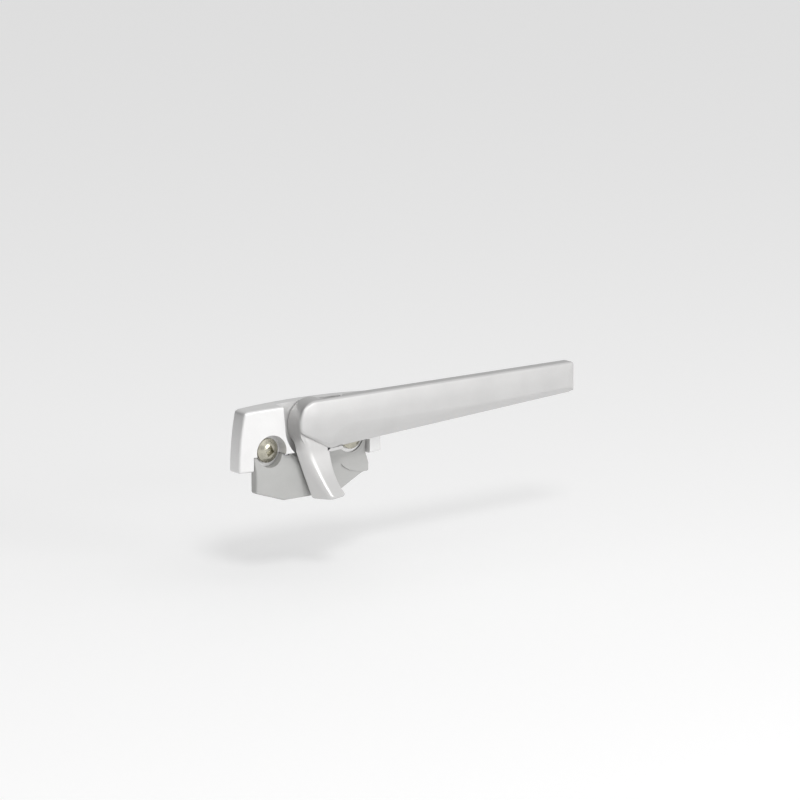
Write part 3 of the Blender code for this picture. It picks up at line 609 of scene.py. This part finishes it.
HUB_BACK = -hub_high.y
HUB_FRONT = 11.6 * MM
NOSE_END = hub_low.z
NOSE_ROOT = -8.5 * MM
NOSE_ROUNDING = 1.1 * MM
HUB_BORE = 4.8 * MM
BORE_STEP = 4.8 * MM
CLAMP_ROOM = HUB_RADIUS - 2.1 * MM
HUB_BORE_END = 8.9 * MM
HUB_LIP = 10.7 * MM
LIP_LOW = -5.2 * MM
LIP_SLOPE = -0.58
TANG_END = 34 * MM
TANG_HALF = 4 * MM
TANG_THICKNESS = 2 * MM
TANG_ROUNDING = 1.2 * MM


def mix(a, b, t):
    return tuple(p + (q - p) * t for p, q in zip(a, b))


def soft_corners(corners, cuts, steps=7):
    """A four-sided section with each corner drawn as an arc that starts its cut away from it."""
    points = []
    for i, corner in enumerate(corners):
        before = corners[i - 1]
        after = corners[(i + 1) % len(corners)]
        a = mix(corner, before, min(0.48, cuts[i] / math.dist(corner, before)))
        b = mix(corner, after, min(0.48, cuts[i] / math.dist(corner, after)))
        for step in range(steps + 1):
            t = step / steps
            points.append(mix(mix(a, corner, t), mix(corner, b, t), t))
    return points


def nose_rings():
    """Sections of the nose from inside the hub to the tip, as points in space.

    Each section has a left lower edge, a ridge, a right front edge and a right lower edge,
    given in millimetres as places x and distances out from the sash.
    """
    inner = [(-8.7 * MM, 5.0 * MM), (-8.6 * MM, 11.5 * MM), (8.5 * MM, 11.5 * MM), (8.6 * MM, 5.0 * MM)]
    tip_z = NOSE_END + NOSE_ROUNDING

    def section(t):
        swell = t ** 1.4
        flare = t ** 3.2
        corners = [
            (-8.8 + 5.3 * t, 9.0 + 1.5 * swell),
            (-6.4 + 5.6 * t + 1.4 * t * t, 12.3 + 4.7 * swell),
            (3.65 + 1.4 * t + 2.75 * flare, 11.75 + 3.45 * swell),
            (4.0 + 1.1 * t + 2.0 * flare, 9.0 + 2.6 * swell),
        ]
        return [(x * MM, out * MM) for x, out in corners]

    sections = []
    for step in range(12):
        t = step / 12
        points = [mix(a, b, t * t * (3 - 2 * t)) for a, b in zip(inner, section(0))]
        sections.append((NOSE_ROOT * t, points, 0.5 * MM + 2.4 * MM * t))
    for step in range(25):
        t = step / 24
        sections.append((NOSE_ROOT + (tip_z - NOSE_ROOT) * t, section(t), (2.9 - 0.9 * t) * MM))
    rings = []
    for z, corners, ridge in sections:
        ring = soft_corners(corners, (0.6 * MM, ridge, 0.5 * MM, 0.4 * MM))
        rings.append([(x, -out, z) for x, out in ring])
    last = rings[-1]
    middle = Vector([sum(p[i] for p in last) / len(last) for i in range(3)])
    for step in range(1, 7):
        turn = math.pi / 2 * step / 6
        shrink = 1 - 0.22 * (1 - math.cos(turn))
        drop = (tip_z - NOSE_END) * math.sin(turn)
        rings.append([
            tuple(middle + (Vector(p) - middle) * shrink - Vector((0, 0, drop))) for p in last])
    return rings


def build_hub():
    hub = peg("hub_cam_casting", HUB_RADIUS, HUB_BACK, HUB_FRONT, sides=160)
    nose = skin("nose_tool", nose_rings())
    close_ends(nose)
    shape_with(hub, nose, "UNION")
    low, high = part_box("grip_screw_1")
    height = (low.z + high.z) / 2
    tang_back = -high.y
    tang = box_block("tang_tool", (0, -tang_back - TANG_THICKNESS, height - TANG_HALF),
                     (TANG_END, -tang_back, height + TANG_HALF))
    pick(tang, lambda place, along: abs(along.y) > 0.9 and place.x > TANG_END - TANG_HALF, "EDGE")
    bpy.ops.mesh.bevel(offset=TANG_ROUNDING, segments=4)
    leave_edit()
    shape_with(hub, tang, "UNION")
    shape_with(hub, peg("counterbore_tool", SPINDLE_ROOM, 0, BORE_STEP))
    shape_with(hub, peg("bore_tool", HUB_BORE, 0, 2 * HUB_FRONT))
    shape_with(hub, peg("clamp_tool", CLAMP_ROOM, HUB_BORE_END, HUB_LIP))
    under_lever = []
    for step in range(96):
        turn = 2 * math.pi * step / 96
        x, z = CLAMP_ROOM * math.cos(turn), CLAMP_ROOM * math.sin(turn)
        under_lever.append((x, max(z, LIP_LOW + LIP_SLOPE * x)))
    shape_with(hub, slab("mouth_tool", under_lever, HUB_LIP - 0.1 * MM, 2 * HUB_FRONT))
    pin_low, pin_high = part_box("stop_pin")
    pin = ((pin_low.x + pin_high.x) / 2, (pin_low.z + pin_high.z) / 2)
    shape_with(hub, peg("pin_tool", 1.0 * MM, 0, HUB_BACK + 2.1 * MM, pin, 24))
    for name in ("grip_screw_1", "grip_screw_2"):
        low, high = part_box(name)
        centre = ((low.x + high.x) / 2, (low.z + high.z) / 2)
        shape_with(hub, peg("tang_hole_tool", 1.2 * MM, 0, 2 * HUB_FRONT, centre, 32))
        shape_with(hub, peg("tang_sink_tool", 2.2 * MM, 0, tang_back + MM, centre, 32))
    finish_mesh(hub, 40)
    return hub


hub = build_hub()
hub.data.materials.append(silver_spray("cam_silver_spray", 0.62, 0.02, 0.5))
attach(hub, "handle")
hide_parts("hub_casting")


# ---- Lever shell ------------------------------------------------------------------------------
# The lever is a thin die-cast shell, open at the back and sprayed silver. Its head covers the hub,
# its front is gently crowned, and a bevel along the lower edge fades into the head.

grip_low, grip_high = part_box("grip_shell")
LEVER_BACK = -grip_high.y
LEVER_FRONT = -grip_low.y
LEVER_TIP = grip_high.x
LEVER_LEFT = grip_low.x
LEVER_TOP = grip_high.z
LEVER_BOTTOM = grip_low.z
SHELL = 1.1 * MM
SPINE_LEFT = -1.0 * MM
SPINE_RIGHT = LEVER_TIP - 4.5 * MM
HEAD_CORNER = 6.8 * MM
HEAD_LOW = (5 * MM, LEVER_BOTTOM + 5.35 * MM)
HEAD_LOW_RADIUS = 5 * MM
BEVEL_START = -7 * MM
BEVEL_FADE = 22 * MM
TIP_TOP = 8.9 * MM
TIP_BOTTOM = -2.5 * MM
TIP_CORNER = 1.2 * MM
TIP_LOW_CORNER = 0.9 * MM


def lever_line():
    """Outline of the lever with, at each point, how much of the lower bevel it has."""
    def fade(x):
        t = max(0, min(1, (x - BEVEL_START) / BEVEL_FADE))
        return t * t * (3 - 2 * t)

    def arc(centre, radius, start, end, steps):
        turns = [math.radians(start + (end - start) * step / steps) for step in range(steps + 1)]
        return [
            (centre[0] + radius * math.cos(turn), centre[1] + radius * math.sin(turn)) for turn in turns]

    head = arc((LEVER_LEFT + HEAD_CORNER, LEVER_TOP - HEAD_CORNER), HEAD_CORNER, 90, 180, 24)
    line = [(x, z, 0) for x, z in head]
    chin = [(-9.55 * MM, 1.0 * MM), (-9.45 * MM, 0.0), (-9.2 * MM, -1.0 * MM), (-8.6 * MM, -1.75 * MM)]
    line += [(x, z, 0) for x, z in chin]
    low = arc(HEAD_LOW, HEAD_LOW_RADIUS, 240, 278, 12)
    underside = [mix(chin[-1], low[0], step / 13) for step in range(1, 13)] + low
    last = (LEVER_TIP - TIP_CORNER * 0.6, TIP_BOTTOM)
    underside += [mix(low[-1], last, step / 60) for step in range(1, 61)]
    line += [(x, z, fade(x)) for x, z in underside]
    line.append((LEVER_TIP - 0.15 * MM, TIP_BOTTOM + 0.25 * MM, 0.9))
    end_low = TIP_BOTTOM + TIP_LOW_CORNER
    end_high = TIP_TOP - TIP_CORNER
    line += [(LEVER_TIP, end_low + (end_high - end_low) * step / 12, 0) for step in range(12)]
    line += [(x, z, 0) for x, z in arc((LEVER_TIP - TIP_CORNER, end_high), TIP_CORNER, 0, 90, 6)]
    corner_x, corner_z = line[-1][:2]
    slope = (LEVER_TOP - corner_z) / (line[0][0] - corner_x)
    below = [x for x, z, bevel in line if SPINE_LEFT < x < SPINE_RIGHT]
    line += [(x, corner_z + slope * (x - corner_x), 0) for x in reversed(below)]
    return line


def lever_rings():
    """Rings of the shell from its back edge, over its side and bevel, to a line along its middle."""
    line = lever_line()
    side_levels = 3
    rings = []

    def profile(x, bevel):
        """Distances in from the edge and back from the front, from the side to the crown."""
        along = max(0, min(1, (x - 6 * MM) / (LEVER_TIP - 6 * MM)))
        fillet = EDGE_ROUNDING
        plain = []
        for step in range(6):
            turn = math.pi / 2 * step / 5
            plain.append((fillet * (1 - math.cos(turn)), fillet * (1 - math.sin(turn))))
        plain += [(fillet * 1.5, 0), (fillet * 2.2, 0)]
        width = (2.3 + 3.4 * (1 - along) ** 1.3) * MM
        depth = 2.3 * MM
        soft = 0.12 + 0.3 * (1 - along) ** 2
        bent = [(0, depth), (0.04 * width, depth - 0.12 * depth)]
        for share in (0.3, 0.6, 1 - soft):
            bent.append((share * width, depth * (1 - share) * 0.9 + 0.02 * depth))
        bent += [(width, depth * soft * 0.28), (width * (1 + soft), 0), (width * (1.15 + soft), 0)]
        return [mix(a, b, bevel) for a, b in zip(plain, bent)]

    columns = []
    for x, z, bevel in line:
        across = profile(x, bevel)
        centre_x = max(SPINE_LEFT, min(SPINE_RIGHT, x))
        along = max(0, min(1, (centre_x - LEVER_LEFT) / (LEVER_TIP - LEVER_LEFT)))
        top = LEVER_TOP + (TIP_TOP - LEVER_TOP) * along
        bottom = LEVER_BOTTOM + (TIP_BOTTOM - LEVER_BOTTOM) * along
        target = (centre_x, (top + bottom) / 2 + 1.4 * MM * (1 - along) + 0.7 * MM)
        reach = math.dist((x, z), target)
        crown = 0.75 * (0.9 - 0.55 * along) * MM
        column = []
        edge_out = LEVER_FRONT - crown
        start_out = edge_out - across[0][1]
        back = HUB_FRONT + GAP if x < HUB_RADIUS + 0.6 * MM else LEVER_BACK
        for level in range(side_levels):
            column.append((x, -(back + (start_out - back) * level / side_levels), z))
        for inward, drop in across:
            share = inward / reach
            rise = crown * math.sin(math.pi / 2 * share)
            px, pz = mix((x, z), target, share)
            column.append((px, -(edge_out - drop + rise), pz))
        share = across[-1][0] / reach
        for step in range(1, 11):
            t = share + (1 - share) * step / 10
            px, pz = mix((x, z), target, t)
            column.append((px, -(edge_out + crown * math.sin(math.pi / 2 * t)), pz))
        columns.append(column)
    for level in range(len(columns[0])):
        rings.append([column[level] for column in columns])
    return rings


def build_lever():
    shell = skin("lever_cast_shell", lever_rings())
    bpy.context.view_layer.objects.active = shell
    wall = shell.modifiers.new("wall", "SOLIDIFY")
    wall.thickness = SHELL
    wall.offset = -1
    wall.use_even_offset = False
    bpy.ops.object.modifier_apply(modifier=wall.name)
    finish_mesh(shell, 32)
    return shell


lever = build_lever()
lever.data.materials.append(silver_spray("lever_silver_spray", 0.59, 0.015, 0.5))
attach(lever, "handle")
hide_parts("grip_shell")


# ---- Back strip of the lever ------------------------------------------------------------------
# A moulded strip snaps into the open back of the lever beyond the tang. It has rounded edges and
# the fine grain of its mould.

def build_strip():
    low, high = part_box("grip_back_strip")
    outline = [
        (low.x, low.z + 0.15 * MM), (high.x, -0.8 * MM), (high.x, high.z - 0.3 * MM), (low.x, high.z),
    ]
    strip = slab("lever_back_strip", outline, -high.y, -low.y)
    round_edges(strip, 0.25 * MM, 3, 40)
    finish_mesh(strip)
    return strip


strip = build_strip()
strip.data.materials.append(nylon("strip_moulding_grain", (0.42, 0.43, 0.43)))
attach(strip, "handle")
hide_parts("grip_back_strip")


# ---- Gasket -----------------------------------------------------------------------------------
# A sheet of black rubber, die-cut to the inside of the base and pierced for the four screws. It
# lies in the back of the base and seals it against the sash.

HEAD_RELIEF = 2.2 * MM


def build_gasket():
    low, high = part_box("base_gasket")
    sheet = slab("gasket_sheet", base_line(COVER_WALL + GAP), -high.y, -low.y)
    for sign in (-1, 1):
        centre = (sign * SCREW_X, SCREW_Z)
        shape_with(sheet, peg("screw_hole_tool", SCREW_HOLE, -MM, 2 * MM, centre, 48))
        centre = (sign * APRON_SCREW.x, APRON_SCREW.z)
        shape_with(sheet, peg("head_relief_tool", HEAD_RELIEF, -MM, 2 * MM, centre, 40))
    round_edges(sheet, 0.12 * MM, 2, 40)
    finish_mesh(sheet)
    return sheet


def rubber():
    """Black rubber: fine cloth-like grain from the press and a chalky, uneven dullness."""
    finish = new_finish("gasket_rubber_grain", (0.03, 0.03, 0.03), 0.8, 0)
    grain = speckle(finish, 0.3 * MM, 5.0, 0.7)
    bloom = speckle(finish, 7 * MM, 4.0, 0.6)
    tones = vary_colour(finish, bloom, (0.022, 0.022, 0.023), (0.05, 0.05, 0.05))
    wire(finish, tones, "Color", finish.node_tree.nodes["Principled BSDF"], "Base Color")
    vary_roughness(finish, bloom, 0.7, 0.9)
    raise_grain(finish, [(grain, 0.03 * MM)])
    return finish


gasket = build_gasket()
gasket.data.materials.append(rubber())
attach(gasket, "base")
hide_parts("base_gasket")


# ---- Plate, pivot and small screws ------------------------------------------------------------
# A zinc-plated plate holds the riveted spindle. Around it run the acetal bush and thrust washer,
# the spring and clamp washers, the clamp screw and stop pin, all turned or punched from steel.

def acetal():
    """Natural acetal: warm white, slightly waxy, with the fine rings of the lathe."""
    finish = new_finish("acetal_turned", (0.86, 0.85, 0.80), 0.45, 0)
    place = add_node(finish, "ShaderNodeTexCoord")
    rings = add_node(finish, "ShaderNodeTexWave", wave_type="RINGS", rings_direction="Y",
                     Scale=1 / (20 * 0.2 * MM), Distortion=0.6, Detail=1.0)
    wire(finish, place, "Object", rings, "Vector")
    cloud = speckle(finish, 3 * MM)
    tones = vary_colour(finish, cloud, (0.80, 0.79, 0.73), (0.88, 0.87, 0.82))
    wire(finish, tones, "Color", finish.node_tree.nodes["Principled BSDF"], "Base Color")
    vary_roughness(finish, cloud, 0.4, 0.55)
    raise_grain(finish, [(rings, 0.006 * MM)])
    return finish


def dress(name, finish):
    """Gives a piece of the frame its finish."""
    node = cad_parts[name]
    node.data.materials.clear()
    node.data.materials.append(finish)


turned_steel = plated("turned_bright_steel", (0.60, 0.60, 0.61), 0.26, 0.14 * MM)
for name in ("spindle", "wave_washer", "clamp_washer", "clamp_screw", "stop_pin"):
    dress(name, turned_steel)
for name in ("apron_screw_left", "apron_screw_right", "grip_screw_1", "grip_screw_2"):
    low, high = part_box(name)
    centre = ((low.x + high.x) / 2, (low.z + high.z) / 2)
    dress(name, plated(name + "_steel", (0.58, 0.58, 0.59), 0.28, 0.12 * MM, centre))
bearing = acetal()
for name in ("pivot_bush", "thrust_washer"):
    dress(name, bearing)
dress("base_plate", plated("zinc_spangle", (0.62, 0.60, 0.55), 0.35, 0.8 * MM))


# ---- Floor, light and camera ------------------------------------------------------------------
# A wide pale floor under the handle, a soft light high on the left, a second one low in front on
# the right, and a room that is bright at the front right and dark behind on the left.

FLOOR_SIZE = 12
FLOOR_DROP = 30 * MM
SOFTBOXES = (
    ("key_softbox", (-0.45, -0.85, 0.85), 0.25, 3.6),
    ("fill_softbox", (0.35, -0.95, 0.22), 0.3, 2.4),
)
LIT_PLACE = (0.03, 0, 0)


def studio():
    bpy.ops.object.select_all(action="DESELECT")
    bpy.ops.mesh.primitive_plane_add(
        size=FLOOR_SIZE, location=(0, 0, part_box("apron")[0].z - FLOOR_DROP))
    floor = bpy.context.object
    floor.name = "floor"
    paper = new_finish("pale_paper", (0.93, 0.93, 0.93), 0.9, 0)
    shader = paper.node_tree.nodes["Principled BSDF"]
    shader.inputs["Emission Color"].default_value = (1, 1, 1, 1)
    shader.inputs["Emission Strength"].default_value = 0.12
    grain = speckle(paper, 2 * MM)
    tones = vary_colour(paper, grain, (0.92, 0.92, 0.92), (0.94, 0.94, 0.94))
    wire(paper, tones, "Color", shader, "Base Color")
    floor.data.materials.append(paper)
    world = bpy.data.worlds.new("studio")
    bpy.context.scene.world = world
    world.use_nodes = True
    room = world.node_tree
    place = room.nodes.new("ShaderNodeTexCoord")
    facing = room.nodes.new("ShaderNodeVectorMath")
    facing.operation = "DOT_PRODUCT"
    facing.inputs[1].default_value = (0.6, -0.55, 0.6)
    room.links.new(place.outputs["Generated"], facing.inputs[0])
    glow = room.nodes.new("ShaderNodeMapRange")
    glow.interpolation_type = "SMOOTHSTEP"
    glow.inputs["From Min"].default_value = -0.7
    glow.inputs["From Max"].default_value = 0.8
    glow.inputs["To Min"].default_value = 0.0
    glow.inputs["To Max"].default_value = 0.88
    room.links.new(facing.outputs["Value"], glow.inputs["Value"])
    room.nodes["Background"].inputs["Color"].default_value = (1, 1, 1, 1)
    room.links.new(glow.outputs["Result"], room.nodes["Background"].inputs["Strength"])
    for name, place, size, power in SOFTBOXES:
        bpy.ops.object.light_add(type="AREA", location=place)
        lamp = bpy.context.object
        lamp.name = name
        lamp.data.size = size
        lamp.data.energy = power
        lamp.rotation_euler = (Vector(LIT_PLACE) - Vector(place)).to_track_quat("-Z", "Y").to_euler()
    bpy.context.scene.view_settings.view_transform = "Standard"


def camera():
    place = Vector((-0.74597829, -1.02830587, 0.27678363))
    turn = math.radians(37.5)
    dip = math.radians(12)
    look = Vector((math.sin(turn) * math.cos(dip), math.cos(turn) * math.cos(dip), -math.sin(dip)))
    bpy.ops.object.camera_add(location=place, rotation=look.to_track_quat("-Z", "Y").to_euler())
    eye = bpy.context.object
    eye.name = "camera"
    eye.data.lens = 170.235
    eye.data.sensor_width = 36
    bpy.context.scene.camera = eye


studio()
camera()
